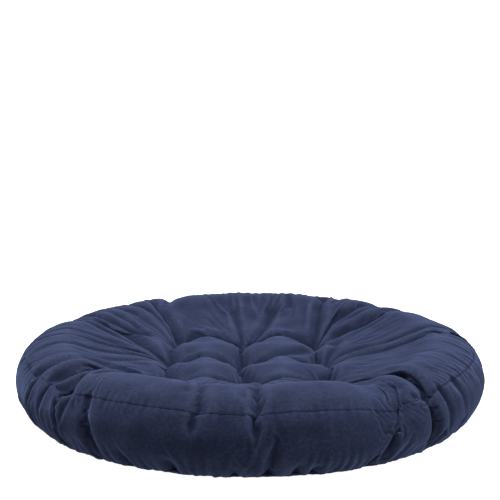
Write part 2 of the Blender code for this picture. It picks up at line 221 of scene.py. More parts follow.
class Cloth:
    """The three cut pieces as one net of triangles, sewn at shared points.
    flat holds each piece's own flat coordinates (not a number elsewhere)."""

    def __init__(self, flat, faces, piece, around):
        self.flat, self.faces, self.piece, self.around = flat, faces, piece, around

    def edges(self):
        f = self.faces
        e = np.concatenate([f[:, [0, 1]], f[:, [1, 2]], f[:, [2, 0]]])
        owner = np.tile(self.piece, 3)
        e.sort(axis=1)
        key = e[:, 0].astype(np.int64) * (e.max() + 1) + e[:, 1]
        _, first, back = np.unique(key, return_index=True, return_inverse=True)
        return e[first], owner[first], back.reshape(3, -1).T

    def rest(self, e, owner, spare=0.0):
        """The threads' own lengths. spare: cloth to spare around the rim,
        more of it to the left and the right, which then lies in wrinkles."""
        out = np.zeros(len(e))
        for k in range(3):
            here = owner == k
            d = self.flat[k][e[here, 1]] - self.flat[k][e[here, 0]]
            if k == 1:
                d[:, 0] = (d[:, 0] + self.around / 2) % self.around - self.around / 2
            out[here] = np.hypot(d[:, 0], d[:, 1])
            mid = (self.flat[k][e[here, 1]] + self.flat[k][e[here, 0]]) / 2
            # a low stretch of rim takes less cloth across it
            turn = mid[:, 0] / self.around * 2 * math.pi if k == 1 else np.arctan2(mid[:, 1], mid[:, 0])
            less = np.zeros(len(mid))
            for angle, width, depth in LOW_RIMS:
                da = (turn - math.radians(angle) + math.pi) % (2 * math.pi) - math.pi
                less += depth / 1000 * np.exp(-(da / math.radians(width)) ** 2)
            if k == 1:
                out[here] *= ((1 + 0.25 * spare * (d[:, 0] / out[here]) ** 2)
                              * (1 - 0.45 * less / BAND * (d[:, 1] / out[here]) ** 2))
                continue
            if k == 2:
                out[here] *= LOW_CUT / (self.around / (2 * math.pi))
                continue
            r = np.hypot(mid[:, 0], mid[:, 1])
            cross = (mid[:, 0] * d[:, 1] - mid[:, 1] * d[:, 0]) / np.maximum(r * out[here], 1e-9)
            sides = 0.30 + 0.70 * smooth(0.45, 0.85, np.abs(mid[:, 0]) / np.maximum(r, 1e-6))
            out[here] *= ((1 + spare * sides * smooth(0.10, 0.17, r) * cross ** 2)
                          * (1 - 0.35 * less / 0.09 * smooth(0.17, 0.21, r) * (1 - cross ** 2)))
        return out

    def finer(self, places):
        e, owner, of_face = self.edges()
        n = len(places)
        flat = []
        for k in range(3):
            a, b = self.flat[k][e[:, 0]], self.flat[k][e[:, 1]]
            if k == 1:
                d = b - a
                d[:, 0] = (d[:, 0] + self.around / 2) % self.around - self.around / 2
                mid = a + d / 2
            else:
                mid = (a + b) / 2
                edge_r = self.around / (2 * math.pi)
                ra, rb, rm = (np.hypot(q[:, 0], q[:, 1]) for q in (a, b, mid))
                on = (ra > edge_r - 1e-6) & (rb > edge_r - 1e-6)
                mid[on] *= (edge_r / rm[on])[:, None]
            flat.append(np.concatenate([self.flat[k], mid]))
        f, m = self.faces, of_face + n
        faces = np.concatenate([
            np.stack([f[:, 0], m[:, 0], m[:, 2]], 1), np.stack([m[:, 0], f[:, 1], m[:, 1]], 1),
            np.stack([m[:, 2], m[:, 1], f[:, 2]], 1), np.stack([m[:, 0], m[:, 1], m[:, 2]], 1)])
        places = np.concatenate([places, (places[e[:, 0]] + places[e[:, 1]]) / 2])
        return Cloth(flat, faces, np.tile(self.piece, 4), self.around), places


def coarse_cloth(h):
    r, s = cloth_of_plan()
    cut = s[-1]
    count = 2 * int(round(math.pi * cut / h))
    scale = np.interp([math.hypot(x, y) for x, y, _ in tuft_list()], r, s)
    tufts = []
    for (x, y, _), k in zip(tuft_list(), scale):
        q = k / math.hypot(x, y) if math.hypot(x, y) > 0.02 else PULLED / 0.0885
        tufts.append((x * q, y * q))
    points, tris = disc_points(cut, h, count, tufts)
    n = len(points)
    rows = max(2, 2 * int(round(BAND / (h * 0.87) / 2)))
    around = 2 * math.pi * cut
    total = 2 * n + (rows - 1) * count
    flat = [np.full((total, 2), np.nan) for _ in range(3)]
    flat[0][:n] = points
    flat[2][n:2 * n] = points
    ring = [list(range(count))]
    for j in range(1, rows):
        first = 2 * n + (j - 1) * count
        ring.append(list(range(first, first + count)))
    ring.append(list(range(n, n + count)))
    faces, piece = [tris, tris[:, ::-1] + n], [np.zeros(len(tris), int), np.full(len(tris), 2)]
    band = []
    for j in range(rows + 1):
        for k in range(count):
            flat[1][ring[j][k]] = (around * (k + 0.5 * (j % 2)) / count, BAND * j / rows)
    for j in range(rows):
        up, down = ring[j], ring[j + 1]
        for k in range(count):
            m = (k + 1) % count
            if j % 2 == 0:
                band += [(up[k], down[k], up[m]), (up[m], down[k], down[m])]
            else:
                band += [(up[k], down[k], down[m]), (up[k], down[m], up[m])]
    faces.append(np.array(band))
    piece.append(np.full(len(band), 1))
    return Cloth(flat, np.concatenate(faces), np.concatenate(piece), around), tufts, (r, s)


def start_places(cloth, table):
    r, s = table
    n = len(cloth.flat[0])
    out = np.zeros((n, 3))
    for k in (0, 2):
        here = ~np.isnan(cloth.flat[k][:, 0])
        p = cloth.flat[k][here]
        q = np.hypot(p[:, 0], p[:, 1])
        plan = np.interp(q, s, r) / np.maximum(q, 1e-9)
        x, y = p[:, 0] * plan, p[:, 1] * plan
        z = pad_height(x, y) if k == 0 else 0.001 + 0.004 * smooth(REST_R, SEAM_R, np.hypot(x, y))
        out[here] = np.stack([x, y, z], 1)
    only = np.isnan(cloth.flat[0][:, 0]) & np.isnan(cloth.flat[2][:, 0])
    a = cloth.flat[1][only, 0] / cloth.around * 2 * math.pi
    t = cloth.flat[1][only, 1] / BAND
    rr = SEAM_R + (RADIUS - SEAM_R) * np.sin(math.pi * t)
    zz = 0.0735 + (0.005 - 0.0735) * t
    out[only] = np.stack([rr * np.cos(a), rr * np.sin(a), zz], 1)
    return out


def colours(e, n):
    used = [0] * n
    out = np.zeros(len(e), np.int8)
    for k, (a, b) in enumerate(e.tolist()):
        m = used[a] | used[b]
        c = 0
        while m >> c & 1:
            c += 1
        out[k] = c
        used[a] |= 1 << c
        used[b] |= 1 << c
    return out


def settle(cloth, x, steps, sweeps, blow, stiff, squeeze, bend, hold, pins, carve, pull, seed, noise, spare, tag):
    """Relaxes the cloth over the filling. stiff and squeeze: how much of a
    stretched or a shortened thread is put right in one sweep; bend: how much
    creases are evened; hold: the filling's firmness."""
    e, owner, _ = cloth.edges()
    rest = cloth.rest(e, owner, spare)
    n = len(x)
    group = colours(e, n)
    batches = []
    free = np.ones(n)
    free[list(pins)] = 0.0
    pin_ids = np.array(sorted(pins))
    pin_at = np.array([pins[k] for k in pin_ids])
    for c in range(group.max() + 1):
        k = np.nonzero(group == c)[0]
        a, b = e[k, 0], e[k, 1]
        w = free[a] + free[b]
        w[w == 0] = 1
        batches.append((a, b, rest[k], (free[a] / w)[:, None], (free[b] / w)[:, None]))
    # neighbours, for evening creases
    both = np.concatenate([e, e[:, ::-1]])
    order = np.argsort(both[:, 0], kind="stable")
    both = both[order]
    degree = np.bincount(both[:, 0], minlength=n)
    start = np.concatenate([[0], np.cumsum(degree)[:-1]])
    width = int(degree.max())
    slot = np.arange(len(both)) - start[both[:, 0]]
    near = np.repeat(np.arange(n)[:, None], width, 1)
    near[both[:, 0], slot] = both[:, 1]
    share = (1.0 / degree)[:, None]
    extra = (width - degree)[:, None]

    def even(u):
        total = u[near[:, 0]].copy()
        for k in range(1, width):
            total += u[near[:, k]]
        return (total - extra * u) * share - u

    f = cloth.faces
    on_top = ~np.isnan(cloth.flat[0][:, 0])
    under = ~np.isnan(cloth.flat[2][:, 0])
    side = ~(on_top | under)
    rng = np.random.default_rng(seed)
    x = x.copy()
    if noise:
        x += rng.normal(0, noise, x.shape) * free[:, None]
    before = x.copy()
    for step in range(steps):
        fade = 1.0 if step < steps * 0.75 else 1.0 - 0.8 * (step / steps - 0.75) / 0.25
        move = (x - before) * 0.92
        before = x.copy()
        a, b, c = x[f[:, 0]], x[f[:, 1]], x[f[:, 2]]
        nf = np.cross(b - a, c - a)
        normal = np.stack([np.bincount(f.ravel(), np.repeat(nf[:, k], 3), n) for k in range(3)], 1)
        normal /= np.maximum(np.linalg.norm(normal, axis=1), 1e-12)[:, None]
        x = x + move + normal * (blow * fade)
        # the filling pushes the cover out to its own shape, less the creases
        r = np.hypot(x[:, 0], x[:, 1])
        out = x[:, :2] / np.maximum(r, 1e-6)[:, None]
        upper = x[:, 2] >= WIDE_Z
        qr = np.maximum(r - CREST_R, 0) / (RADIUS - CREST_R)
        qz = (x[:, 2] - WIDE_Z) / (CREST_Z - WIDE_Z)
        q_up = np.sqrt(qr ** 2 + np.maximum(qz, 0) ** 2)
        lr = np.maximum(r - REST_R, 0) / (RADIUS - REST_R)
        lz = np.maximum(WIDE_Z - x[:, 2], 0) / WIDE_Z
        q_low = (lr ** 1.6 + lz ** 1.6) ** (1 / 1.6)
        q = np.where(upper, q_up, q_low)
        gr = np.where(upper, qr / (RADIUS - CREST_R), lr / (RADIUS - REST_R))
        gz = np.where(upper, np.maximum(qz, 0) / (CREST_Z - WIDE_Z), -lz / WIDE_Z)
        g = np.hypot(gr, gz) + 1e-9
        deep = (1 - q) / (g / np.maximum(q, 0.3)) - carve  # metres inside the filling
        k = np.where(deep > 0, hold, hold * pull)
        amount = np.clip(k * deep, -0.002, 0.002)
        rim = (side | (on_top & (r > CREST_R)) | (under & (r > REST_R)))
        vec = np.zeros_like(x)
        vec[:, :2] = out * (gr / g)[:, None]
        vec[:, 2] = gz / g
        x[rim] += (vec * amount[:, None])[rim]
        mid = on_top & (r <= CREST_R)
        deep_mid = pad_height(x[mid, 0], x[mid, 1]) - carve[mid] - x[mid, 2]
        k = np.where(deep_mid > 0, hold, hold * pull[mid])
        x[mid, 2] += np.clip(k * deep_mid, -0.002, 0.002)
        x[under & (r <= REST_R), 2] -= 0.00003
        for _ in range(sweeps):
            for a, b, L0, wa, wb in batches:
                d = x[b] - x[a]
                L = np.sqrt(np.einsum("ij,ij->i", d, d)) + 1e-12
                off = (L - L0) / L
                off *= np.where(off > 0, stiff, squeeze)
                d *= off[:, None]
                x[a] += wa * d
                x[b] -= wb * d
        if bend:
            u = even(x)
            x -= even(u) * (bend * free[:, None])
        x[pin_ids] = pin_at
        np.maximum(x[:, 2], 0.0, out=x[:, 2])
    length = np.linalg.norm(x[e[:, 1]] - x[e[:, 0]], axis=1) / rest - 1
    print(tag, n, "points", "stretch", np.percentile(length, [1, 10, 50, 90, 99]).round(3),
          "box", x.min(axis=0).round(4), x.max(axis=0).round(4), flush=True)
    return x


def distance_to(points, line):
    """Distance of flat points from a line of straight pieces."""
    best = np.full(len(points), 9.0)
    for p, q in zip(line, line[1:]):
        d = q - p
        t = np.clip(((points - p) @ d) / max(d @ d, 1e-12), 0, 1)
        best = np.minimum(best, np.linalg.norm(points - p - t[:, None] * d, axis=1))
    return best


def carving(cloth, table):
    """How deep each point of the cover is drawn into a fold, in metres."""
    r, s = table
    out = np.zeros(len(cloth.flat[0]))
    here = np.nonzero(~np.isnan(cloth.flat[0][:, 0]))[0]
    p = cloth.flat[0][here]
    for depth, line in CREASES:
        line = np.array(line)
        q = np.hypot(line[:, 0], line[:, 1])
        line = line * (np.interp(q, r, s) / np.maximum(q, 1e-6))[:, None]
        # round the traced line's corners
        for _ in range(2):
            line = np.concatenate([line[:1], np.stack([0.75 * line[:-1] + 0.25 * line[1:], 0.25 * line[:-1] + 0.75 * line[1:]], 1).reshape(-1, 2), line[-1:]])
        d = distance_to(p, line)
        deep = depth / 1000
        out[here] = np.maximum(out[here], deep * np.maximum(0, 1 - d / (1.25 * deep + 0.004)))
    # the folds at the edge run on over the side
    band = np.nonzero(~np.isnan(cloth.flat[1][:, 0]))[0]
    a, t = cloth.flat[1][band, 0] / cloth.around * 2 * math.pi, cloth.flat[1][band, 1] / BAND
    turn, far = np.arctan2(p[:, 1], p[:, 0]), smooth(0.15, 0.21, np.hypot(p[:, 0], p[:, 1]))
    for angle, width, depth in LOW_RIMS:
        for ids, at, fade in ((here, turn, far), (band, a, 1 - smooth(0.0, 0.6, t))):
            da = (at - math.radians(angle) + math.pi) % (2 * math.pi) - math.pi
            lower = depth / 1000 * fade * np.exp(-(da / math.radians(width)) ** 2)
            new = ids if ids is here else ids[t > 1e-6]
            out[new] += lower if ids is here else lower[t > 1e-6]
    for angle, depth, reach, lean in EDGE_FOLDS:
        da = (a - math.radians(angle) - lean * t + math.pi) % (2 * math.pi) - math.pi
        d = np.abs(da) * RADIUS
        deep = depth / 1000 * (1 - smooth(reach * 0.5, reach, t))
        out[band] = np.maximum(out[band], deep * np.maximum(0, 1 - d / (1.25 * depth / 1000 + 0.003)))
    for angle, depth, reach, lean in FOOT_FOLDS:
        da = (a - math.radians(angle) - lean * (1 - t) + math.pi) % (2 * math.pi) - math.pi
        d = np.abs(da) * RADIUS
        deep = depth / 1000 * (1 - smooth(reach * 0.5, reach, 1 - t))
        out[band] = np.maximum(out[band], deep * np.maximum(0, 1 - d / (1.25 * depth / 1000 + 0.003)))
    return out


def pinned(cloth, tufts, size):
    """The points caught by each tuft's stitch, and where it holds them."""
    out = {}
    for (fx, fy), (tx, ty, tz) in zip(tufts, tuft_list()):
        for k in (0, 2):
            p = cloth.flat[k]
            d = np.hypot(p[:, 0] - fx, p[:, 1] - fy)
            near = np.nonzero(d < size)[0]
            if not len(near):
                near = [int(np.nanargmin(d))]
            for i in near:
                dx, dy = (p[i, 0] - fx) * 0.55, (p[i, 1] - fy) * 0.55
                up = 0.25 * math.hypot(dx, dy)
                out[int(i)] = (tx + dx, ty + dy, tz + up if k == 0 else LIFT - up)
    return out


def sew_and_fill():
    began = time.time()
    cloth, tufts, table = coarse_cloth(0.0132)
    x = start_places(cloth, table)
    print("coarse", len(x), "points", len(cloth.faces), "faces, cut radius", table[1][-1], flush=True)
    for level, (steps, sweeps, blow, stiff, squeeze, bend, size, spare) in enumerate((
            (200, 6, 0.00006, 0.9, 0.35, 0.02, 0.001, 0.0),
            (220, 5, 0.00003, 0.9, 0.7, 0.025, 0.0036, 0.02),
            (190, 4, 0.000010, 0.9, 0.9, 0.03, 0.0036, 0.05))):
        if level:
            level1 = cloth
            cloth, x = cloth.finer(x)
        carve = carving(cloth, table)
        pull = 0.12 + 0.88 * np.clip(carve / 0.004, 0, 1)
        pins = pinned(cloth, tufts, size)
        x = settle(cloth, x, steps, sweeps, blow, stiff, squeeze, bend, 0.12, pins, carve, pull,
                   5 + level, (0.0004, 0.0003, 0.00015)[level], spare, f"level {level}")
        print("seconds", round(time.time() - began, 1), flush=True)
    return cloth, x, tufts, table, level1


# ------------------------------------------------------------------- the look
def nodes_of(name):
    m = bpy.data.materials.new(name)
    m.use_nodes = True
    t = m.node_tree
    return m, t, t.nodes["Principled BSDF"]


def add(t, kind, **sockets):
    n = t.nodes.new(kind)
    for key, value in sockets.items():
        n.inputs[key.replace("_", " ")].default_value = value
    return n


def maths(t, operation, a, b=None, c=None, clamp=False):
    n = t.nodes.new("ShaderNodeMath")
    n.operation, n.use_clamp = operation, clamp
    for k, v in enumerate((a, b, c)):
        if v is None:
            continue
        if isinstance(v, (int, float)):
            n.inputs[k].default_value = v
        else:
            t.links.new(v, n.inputs[k])
    return n.outputs[0]


# strength of the painted shade darkening the folds and the painted highlight paling the ridges
FOLD_SHADE_PAINT = 0.42


def fabric(name, base, light, pitch):
    """Short-pile cloth with fine ribs: the ribs and the nap follow the cloth's
    own flat coordinates, in millimetres, kept in the UV map "cut"."""
    m, t, shader = nodes_of(name)
    uv = t.nodes.new("ShaderNodeUVMap")
    uv.uv_map = "cut"
    xyz = t.nodes.new("ShaderNodeSeparateXYZ")
    t.links.new(uv.outputs[0], xyz.inputs[0])
    # UVs hold the cut coordinates in decimetres
    wander = add(t, "ShaderNodeTexNoise", Scale=9.0, Detail=3.0, Roughness=0.5)
    t.links.new(uv.outputs[0], wander.inputs["Vector"])
    drift = maths(t, "MULTIPLY", maths(t, "SUBTRACT", wander.outputs["Fac"], 0.5), 0.012)
    along = maths(t, "ADD", xyz.outputs["X"], drift)
    ribs = maths(t, "SINE", maths(t, "MULTIPLY", along, 2 * math.pi * 100.0 / pitch))
    rib = maths(t, "ADD", maths(t, "MULTIPLY", ribs, 0.5), 0.5)
    tuft = maths(t, "SINE", maths(t, "MULTIPLY", xyz.outputs["Y"], 2 * math.pi * 100.0 / (pitch * 0.8)))
    tick = maths(t, "ADD", maths(t, "MULTIPLY", tuft, 0.5), 0.5)
    fuzz = add(t, "ShaderNodeTexNoise", Scale=260.0, Detail=3.0, Roughness=0.65)
    t.links.new(uv.outputs[0], fuzz.inputs["Vector"])
    nap = add(t, "ShaderNodeTexNoise", Scale=3.2, Detail=5.0, Roughness=0.6)
    t.links.new(uv.outputs[0], nap.inputs["Vector"])
    brushed = add(t, "ShaderNodeTexNoise", Scale=28.0, Detail=3.0, Roughness=0.6)
    t.links.new(uv.outputs[0], brushed.inputs["Vector"])
    # colour: nap laid one way or the other, ribs a little lighter on top
    tone = maths(t, "ADD", maths(t, "MULTIPLY", nap.outputs["Fac"], 0.45),
                 maths(t, "MULTIPLY", brushed.outputs["Fac"], 0.55))
    tone = maths(t, "ADD", tone, maths(t, "MULTIPLY", maths(t, "SUBTRACT", rib, 0.5), 0.15))
    tone = maths(t, "ADD", tone, maths(t, "MULTIPLY", maths(t, "SUBTRACT", tick, 0.5), 0.10))
    tone = maths(t, "ADD", tone, maths(t, "MULTIPLY", maths(t, "SUBTRACT", fuzz.outputs["Fac"], 0.5), 0.5))
    # painted shade: the colour is darkened in the folds, and a painted highlight pales it on the ridges
    fold = t.nodes.new("ShaderNodeUVMap")
    fold.uv_map = "fold"
    fold_shade_xyz = t.nodes.new("ShaderNodeSeparateXYZ")
    t.links.new(fold.outputs[0], fold_shade_xyz.inputs[0])
    painted_fold_shade = maths(t, "MULTIPLY", maths(t, "SUBTRACT", fold_shade_xyz.outputs["X"], 0.5), FOLD_SHADE_PAINT)
    tone = maths(t, "ADD", tone, painted_fold_shade)
    ramp = t.nodes.new("ShaderNodeValToRGB")
    ramp.color_ramp.elements[0].position, ramp.color_ramp.elements[1].position = 0.10, 0.95
    ramp.color_ramp.elements[0].color = (*[c * 0.45 for c in base[0]], 1)
    ramp.color_ramp.elements[1].color = (*[c * 1.45 for c in light], 1)
    for place, colour in ((0.34, base[0]), (0.54, base[1]), (0.72, light)):
        ramp.color_ramp.elements.new(place).color = (*colour, 1)
    t.links.new(tone, ramp.inputs[0])
    t.links.new(ramp.outputs[0], shader.inputs["Base Color"])
    rough = maths(t, "ADD", maths(t, "MULTIPLY", brushed.outputs["Fac"], 0.14), 0.80)
    t.links.new(rough, shader.inputs["Roughness"])
    shader.inputs["Specular IOR Level"].default_value = 0.08
    shader.inputs["Sheen Weight"].default_value = 0.45
    shader.inputs["Sheen Roughness"].default_value = 0.45
    shader.inputs["Sheen Tint"].default_value = (0.28, 0.37, 0.76, 1)
    relief = maths(t, "ADD", maths(t, "MULTIPLY", rib, 0.35), maths(t, "MULTIPLY", fuzz.outputs["Fac"], 0.9))
    relief = maths(t, "ADD", relief, maths(t, "MULTIPLY", tick, 0.20))
    relief = maths(t, "ADD", relief, maths(t, "MULTIPLY", brushed.outputs["Fac"], 1.6))
    bump = add(t, "ShaderNodeBump", Strength=0.45, Distance=0.0006)
    t.links.new(relief, bump.inputs["Height"])
    t.links.new(bump.outputs[0], shader.inputs["Normal"])
    return m


def thread_material(name, colour):
    m, t, shader = nodes_of(name)
    where = t.nodes.new("ShaderNodeTexCoord")
    wave = add(t, "ShaderNodeTexWave", Scale=420.0, Distortion=1.2, Detail=1.0)
    wave.bands_direction = "DIAGONAL"
    t.links.new(where.outputs["Object"], wave.inputs["Vector"])
    ramp = t.nodes.new("ShaderNodeValToRGB")
    ramp.color_ramp.elements[0].color = (*[c * 0.7 for c in colour], 1)
    ramp.color_ramp.elements[1].color = (*[c * 1.35 for c in colour], 1)
    t.links.new(wave.outputs["Color"], ramp.inputs[0])
    t.links.new(ramp.outputs[0], shader.inputs["Base Color"])
    shader.inputs["Roughness"].default_value = 0.75
    shader.inputs["Specular IOR Level"].default_value = 0.06
    shader.inputs["Sheen Weight"].default_value = 0.3
    shader.inputs["Sheen Tint"].default_value = (0.24, 0.34, 0.80, 1)
    bump = add(t, "ShaderNodeBump", Strength=0.5, Distance=0.0002)
    t.links.new(wave.outputs["Fac"], bump.inputs["Height"])
    t.links.new(bump.outputs[0], shader.inputs["Normal"])
    return m


def mesh_object(name, verts, faces, material, uvs=None, wrap=None, folds=None):
    mesh = bpy.data.meshes.new(name)
    mesh.vertices.add(len(verts))
    mesh.vertices.foreach_set("co", np.asarray(verts, np.float32).ravel())
    mesh.loops.add(faces.size)
    mesh.loops.foreach_set("vertex_index", faces.astype(np.int32).ravel())
    mesh.polygons.add(len(faces))
    mesh.polygons.foreach_set("loop_start", np.arange(0, faces.size, faces.shape[1], dtype=np.int32))
    mesh.update(calc_edges=True)
    if uvs is not None:
        layer = mesh.uv_layers.new(name="cut")
        at = np.asarray(uvs, np.float32)[faces]
        if wrap:
            across = np.ptp(at[:, :, 0], axis=1) > wrap / 2
            at[across, :, 0] += np.where(at[across, :, 0] < wrap / 2, wrap, 0)
        layer.data.foreach_set("uv", at.ravel())
    if folds is not None:
        # the UV map fold carries how much painted shade darkens the folds and painted highlight pales the ridges
        layer = mesh.uv_layers.new(name="fold")
        at = np.zeros((*faces.shape, 2), np.float32)
        at[:, :, 0] = (0.5 + 0.5 * folds)[faces]
        layer.data.foreach_set("uv", at.ravel())
    mesh.validate()
    mesh.shade_smooth()
    mesh.materials.append(material)
    o = bpy.data.objects.new(name, mesh)
    bpy.context.scene.collection.objects.link(o)
    return o


# ---------------------------------------------------------------- the pieces
def point_normals(x, f):
    a, b, c = x[f[:, 0]], x[f[:, 1]], x[f[:, 2]]
    nf = np.cross(b - a, c - a)
    out = np.stack([np.bincount(f.ravel(), np.repeat(nf[:, k], 3), len(x)) for k in range(3)], 1)
    return out / np.maximum(np.linalg.norm(out, axis=1), 1e-12)[:, None]


def rounded(cloth, x):
    """One step of Loop subdivision."""
    e, _, of_face = cloth.edges()
    n = len(x)
    opposite = cloth.faces[:, [2, 0, 1]].ravel()
    at = of_face.ravel()
    total = np.stack([np.bincount(at, x[opposite, k], len(e)) for k in range(3)], 1)
    count = np.bincount(at, minlength=len(e))[:, None]
    mid = 0.375 * (x[e[:, 0]] + x[e[:, 1]]) + 0.25 * total / np.maximum(count, 1)
    both = np.concatenate([e, e[:, ::-1]])
    degree = np.bincount(both[:, 0], minlength=n)[:, None]
    mean = np.stack([np.bincount(both[:, 0], x[both[:, 1], k], n) for k in range(3)], 1) / degree
    finer, _ = cloth.finer(x)
    return finer, np.concatenate([0.625 * x + 0.375 * mean, mid])


def seam_distance(cloth):
    cut = cloth.around / (2 * math.pi)
    out = np.full(len(cloth.flat[0]), 9.0)
    for k in (0, 2):
        here = ~np.isnan(cloth.flat[k][:, 0])
        out[here] = np.minimum(out[here], cut - np.hypot(*cloth.flat[k][here].T))
    here = ~np.isnan(cloth.flat[1][:, 0])
    t = cloth.flat[1][here, 1]
    out[here] = np.minimum(out[here], np.minimum(t, BAND - t))
    return np.maximum(out, 0)


def angle_of(cloth):
    """Each point's place around the cushion, 0 to 1."""
    out = np.zeros(len(cloth.flat[0]))
    for k in (0, 2):
        here = ~np.isnan(cloth.flat[k][:, 0])
        out[here] = np.arctan2(cloth.flat[k][here, 1], cloth.flat[k][here, 0]) / (2 * math.pi)
    here = ~np.isnan(cloth.flat[1][:, 0]) & np.isnan(cloth.flat[0][:, 0]) & np.isnan(cloth.flat[2][:, 0])
    out[here] = cloth.flat[1][here, 0] / cloth.around
    return out % 1.0


def evened(cloth, x, rounds):
    """x with each point drawn to its neighbours' middle, several times."""
    e, _, _ = cloth.edges()
    both = np.concatenate([e, e[:, ::-1]])
    degree = np.bincount(both[:, 0], minlength=len(x))[:, None]
    for _ in range(rounds):
        x = 0.4 * x + 0.6 * np.stack([np.bincount(both[:, 0], x[both[:, 1], k], len(x)) for k in range(3)], 1) / degree
    return x


def fold_shade_mask(cloth, fine, places):
    """How far each point lies in a fold, -1 in its bottom to 1 on a ridge; it sets the painted shade in the folds and
    the painted highlight on the ridges.
    """
    n2 = len(cloth.flat[0])
    x = places[:n2]
    normals = point_normals(x, cloth.faces)
    wide = ((x - evened(cloth, x, 14)) * normals).sum(1)
    e, _, _ = cloth.edges()
    wide = np.concatenate([wide, (wide[e[:, 0]] + wide[e[:, 1]]) / 2])
    near = ((places - evened(fine, places, 4)) * point_normals(places, fine.faces)).sum(1)
    near = evened(fine, np.repeat(near[:, None], 3, 1), 1)[:, 0]
    # the cushion's own roundness is no ridge
    wide = wide - np.median(wide)
    a, b = np.percentile(np.abs(wide), 93), np.percentile(np.abs(near), 93)
    return np.tanh(0.75 * wide / a + 0.55 * near / b)


def zip_rings(a, ta, b, tb):
    """Triangles between two closed rings of points ordered by ta and tb."""
    i = j = 0
    out = []
    na, nb = len(a), len(b)
    while i < na or j < nb:
        next_a = ta[(i + 1) % na] + (i + 1 >= na) if i < na else 9
        next_b = tb[(j + 1) % nb] + (j + 1 >= nb) if j < nb else 9
        if next_a <= next_b:
            out.append((a[i % na], a[(i + 1) % na], b[j % nb]))
            i += 1
        else:
            out.append((a[i % na], b[(j + 1) % nb], b[j % nb]))
            j += 1
    return out


def shell(name, k, fine, places, rough, material, fold, thick=0.0012):
    """Piece k as a closed cloth shell: the fine mesh outside, the coarser
    one inside, joined around the raw edges."""
    ff = fine.faces[fine.piece == k]
    used = np.unique(ff)
    index = np.full(len(places), -1)
    index[used] = np.arange(len(used))
    verts = places[used]
    faces = [index[ff]]
    normals = point_normals(places, fine.faces)
    rf = rough.faces[rough.piece == k]
    rused = np.unique(rf)
    rindex = np.full(len(places), -1)
    rindex[rused] = np.arange(len(rused)) + len(used)
    smooth_n = point_normals(places[:len(rough.flat[0])], rough.faces)
    inner = places[rused] - smooth_n[rused] * thick
    verts = np.concatenate([verts, inner])
    faces.append(rindex[rf][:, ::-1])
    around = angle_of(fine)
    uv = fine.flat[k]
    if k != 1:
        r = np.hypot(uv[:, 0], uv[:, 1])
        rims = [lambda flat: np.hypot(flat[:, 0], flat[:, 1]) > fine.around / (2 * math.pi) - 1e-5]
    else:
        rims = [lambda flat: flat[:, 1] < 1e-6, lambda flat: flat[:, 1] > BAND - 1e-6]
    for which, rim in enumerate(rims):
        with np.errstate(invalid="ignore"):
            outer_ring = np.nonzero(rim(fine.flat[k]) & (index >= 0))[0]
            inner_ring = np.nonzero(rim(rough.flat[k]) & (rindex[:len(rough.flat[k])] >= 0))[0]
        outer_ring = outer_ring[np.argsort(around[outer_ring])]
        inner_ring = inner_ring[np.argsort(around[inner_ring])]
        tris = np.array(zip_rings(index[outer_ring], around[outer_ring], rindex[inner_ring], around[inner_ring]))
        # the strip faces out: turned as the neighbouring outer faces need
        edge = {}
        for a, b, c in faces[0].tolist():
            edge[(a, b)] = edge[(b, c)] = edge[(c, a)] = 1
        first = int(index[outer_ring[0]]), int(index[outer_ring[1]])
        if first in edge:
            tris = tris[:, ::-1]
        faces.append(tris)
    uvs = np.concatenate([uv[used], uv[rused]]) * 10.0
    wrap = None
    if k == 1:
        # the strip's ends meet at the back, so its own coordinate starts there
        line = ((around - 0.25) % 1.0) * fine.around
        full = np.stack([line, fine.flat[1][:, 1]], 1)
        uvs = np.concatenate([full[used], full[rused]]) * 10.0
        wrap = fine.around * 10.0
    # each point's amount of painted shade in the folds and painted highlight on the ridges
    folds = np.concatenate([fold[used], fold[rused]])
    return mesh_object(name, verts, np.concatenate(faces), material, np.nan_to_num(uvs), wrap, folds)


# ------------------------------------------------------------ camera and room
def aim(obj, place, target, roll_up=(0, 0, 1)):
    obj.location = place
    obj.rotation_mode = "QUATERNION"
    obj.rotation_quaternion = (Vector(target) - Vector(place)).to_track_quat("-Z", "Y")


def make_camera():
    data = bpy.data.cameras.new("camera")
    data.sensor_width = 36.0
    data.lens = 82.5
    cam = bpy.data.objects.new("camera", data)
    bpy.context.scene.collection.objects.link(cam)
    up = math.radians(15.5)
    place = Vector((0, -1.4 * math.cos(up), HEIGHT / 2 + 1.4 * math.sin(up)))
    tilt = math.radians(-15.5 + 5.879)
    aim(cam, place, place + Vector((0, math.cos(tilt), math.sin(tilt))))
    data.clip_start, data.clip_end = 0.01, 40
    bpy.context.scene.camera = cam


def area_light(name, place, target, size, watts, colour=(1, 1, 1)):
    data = bpy.data.lights.new(name, "AREA")
    data.shape, data.size, data.size_y = "RECTANGLE", size[0], size[1]
    data.energy, data.color = watts, colour
    o = bpy.data.objects.new(name, data)
    bpy.context.scene.collection.objects.link(o)
    aim(o, place, target)
    return o


